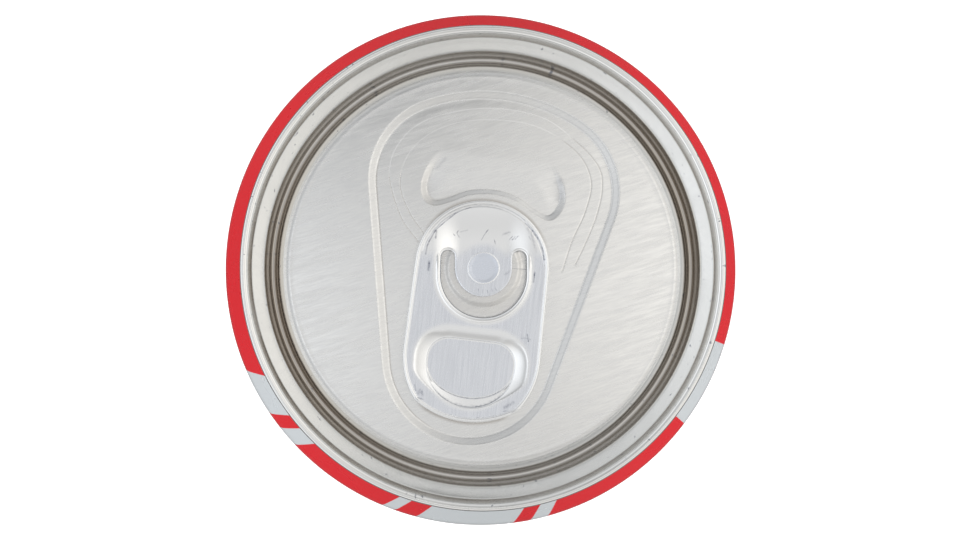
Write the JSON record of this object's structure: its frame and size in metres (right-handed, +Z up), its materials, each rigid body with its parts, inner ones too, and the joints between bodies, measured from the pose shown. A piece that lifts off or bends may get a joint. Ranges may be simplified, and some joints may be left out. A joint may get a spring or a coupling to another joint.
{
  "type": "soda can",
  "caption": "Shut sleek drink can with a necked printed body, a domed base, a seamed end with a scored tear panel and a riveted pull tab.",
  "frame": {"origin": "centre of the can's axis in the plane of the foot ring", "axes": "+Z up along the can's axis, +Y from the rivet towards the drinking side, +X to the right of the tab"},
  "size_m": [0.0574, 0.0574, 0.1455],
  "materials": {
    "print": "glossy varnish over red and white print on drawn aluminium",
    "end": "satin, with fine straight rolling lines",
    "tab": "brushed lengthwise, bright on the rolled edges"
  },
  "bodies": {
    "root": {"body": "print", "end": "end", "tab": "tab"}
  },
  "joints": []
}
